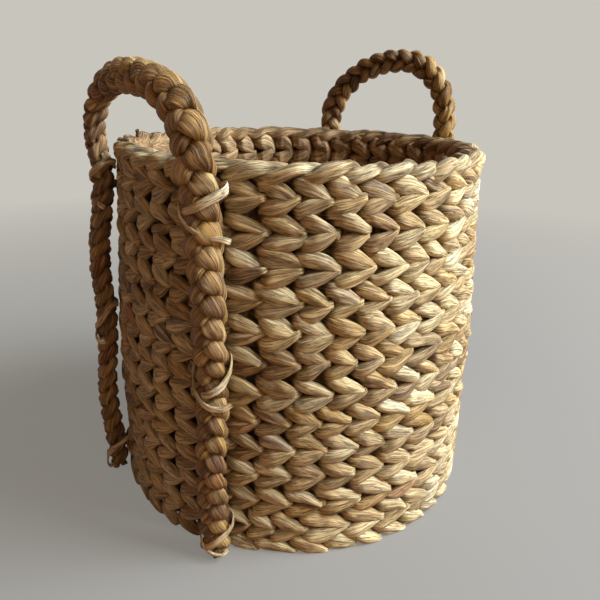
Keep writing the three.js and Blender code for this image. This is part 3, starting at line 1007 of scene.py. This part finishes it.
outer_rounds = [
    tube for number in range(BASE_MIDDLE_ROUNDS, BASE_ROUNDS) for tube in base_round(number)
]
edge_of_base = add_piece("base_edge", outer_rounds, base_straw)
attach(edge_of_base, "basket")
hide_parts("base_weft_over")

for number, handle in enumerate(("left_handle", "right_handle")):
    piece = add_piece(f"{handle}_braid", braid_strands(handle, number), braid)
    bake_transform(piece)
    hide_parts(f"{handle}_grip", f"{handle}_front_leg", f"{handle}_rear_leg")


for handle in ("left_handle", "right_handle"):
    for place in ("front", "rear"):
        leg = f"{handle}_{place}"
        for level, strips in TIE_ROUTES.items():
            rng = np.random.default_rng([SEED, TIE_SEED + len(leg), len(level)])
            tubes = [strip_tube(rng, leg, level, route, half_width) for half_width, route in strips]
            piece = add_piece(f"{leg}_lashing_{level}", tubes, strip)
            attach(piece, "basket")
            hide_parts(f"{leg}_tie_{level}")


stub_out = radial(math.radians(STUB_AZIMUTH))
stub_side = radial(math.radians(STUB_AZIMUTH + 90))
stub_rows = [
    np.concatenate([stub_out * out + stub_side * lean + [0, 0, wall_height + height], stub_out])
    for out, lean, height in STUB_ROUTE
]
stub_rng = np.random.default_rng([SEED, STUB_SEED])
stub_tube = flat_band(stub_rng, stub_rows, STUB_HALF_WIDTH, STUB_HALF_WIDTH)
stub = add_piece("upright_stub", [stub_tube], cane)
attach(stub, "basket")


def photo_matrix():
    """Turns the photograph's frame into the part's."""
    return Matrix.Rotation(math.radians(PHOTO_TURN), 4, "Z")


def add_camera():
    forward = Vector((
        math.sin(CAMERA_YAW) * math.cos(CAMERA_PITCH),
        math.cos(CAMERA_YAW) * math.cos(CAMERA_PITCH),
        -math.sin(CAMERA_PITCH),
    ))
    level = Vector((math.cos(CAMERA_YAW), -math.sin(CAMERA_YAW), 0))
    upright = level.cross(forward)
    right = math.cos(CAMERA_ROLL) * level + math.sin(CAMERA_ROLL) * upright
    up = -math.sin(CAMERA_ROLL) * level + math.cos(CAMERA_ROLL) * upright
    matrix = Matrix((right, up, -forward)).transposed().to_4x4()
    matrix.translation = Vector((0, -CAMERA_DISTANCE, CAMERA_HEIGHT)) * METRES
    data = bpy.data.cameras.new("camera")
    data.sensor_width = SENSOR
    data.lens = SENSOR * PHOTO_FOCUS / PHOTO_PIXELS
    camera = bpy.data.objects.new("camera", data)
    camera.matrix_world = photo_matrix() @ matrix
    bpy.context.scene.collection.objects.link(camera)
    bpy.context.scene.camera = camera


def add_lamp(name, azimuth, elevation, distance, size, power, colour):
    """A soft square lamp that faces the basket's middle, placed in the photograph's frame."""
    data = bpy.data.lights.new(name, "AREA")
    data.size = size
    data.energy = power
    data.color = colour
    lamp = bpy.data.objects.new(name, data)
    turn, lift = math.radians(azimuth), math.radians(elevation)
    back = Vector((math.cos(lift) * math.cos(turn), math.cos(lift) * math.sin(turn), math.sin(lift)))
    place = back * distance + Vector((0, 0, wall_height / 2 * METRES))
    lamp.matrix_world = photo_matrix() @ Matrix.LocRotScale(place, back.to_track_quat("Z", "Y"), None)
    bpy.context.scene.collection.objects.link(lamp)


def add_stage():
    """A wide pale floor that fades into a pale surrounding."""
    bpy.ops.mesh.primitive_circle_add(vertices=96, radius=FLOOR_RADIUS, fill_type="NGON")
    floor = bpy.context.object
    floor.name = "floor"
    nodes = Nodes(bpy.data.materials.new("floor"))
    place = nodes.add("ShaderNodeTexCoord").outputs["Object"]
    distance = nodes.add("ShaderNodeVectorMath", {"operation": "LENGTH"})
    nodes.feed(distance.inputs[0], place)
    seen = nodes.seen_rays()
    fade = nodes.spread(distance.outputs["Value"], FLOOR_FADE_START, FLOOR_FADE_END, FLOOR_GLOW, 1)
    far = nodes.maths("MULTIPLY", fade, seen)
    floor_colour = nodes.mix(seen, linear(FLOOR_BOUNCE), linear(FLOOR))
    near_floor = nodes.add("ShaderNodeBsdfPrincipled", Base_Color=floor_colour, Roughness=0.9)
    far_floor = nodes.add("ShaderNodeEmission", Color=linear(BACKDROP), Strength=1.0)
    blend = nodes.add("ShaderNodeMixShader", Fac=far)
    nodes.feed(blend.inputs[1], near_floor.outputs[0])
    nodes.feed(blend.inputs[2], far_floor.outputs[0])
    nodes.add("ShaderNodeOutputMaterial", Surface=blend.outputs[0])
    floor.data.materials.append(nodes.owner)

    world = bpy.data.worlds.new("surrounding")
    bpy.context.scene.world = world
    nodes = Nodes(world)
    light = nodes.add("ShaderNodeBackground", Color=linear(AMBIENT), Strength=AMBIENT_LEVEL)
    backdrop = nodes.add("ShaderNodeBackground", Color=linear(BACKDROP), Strength=1.0)
    blend = nodes.add("ShaderNodeMixShader", Fac=nodes.seen_rays())
    nodes.feed(blend.inputs[1], light.outputs[0])
    nodes.feed(blend.inputs[2], backdrop.outputs[0])
    nodes.add("ShaderNodeOutputWorld", Surface=blend.outputs[0])


add_camera()
for lamp in LAMPS:
    add_lamp(*lamp)
add_stage()
bpy.context.scene.view_settings.view_transform = "Standard"
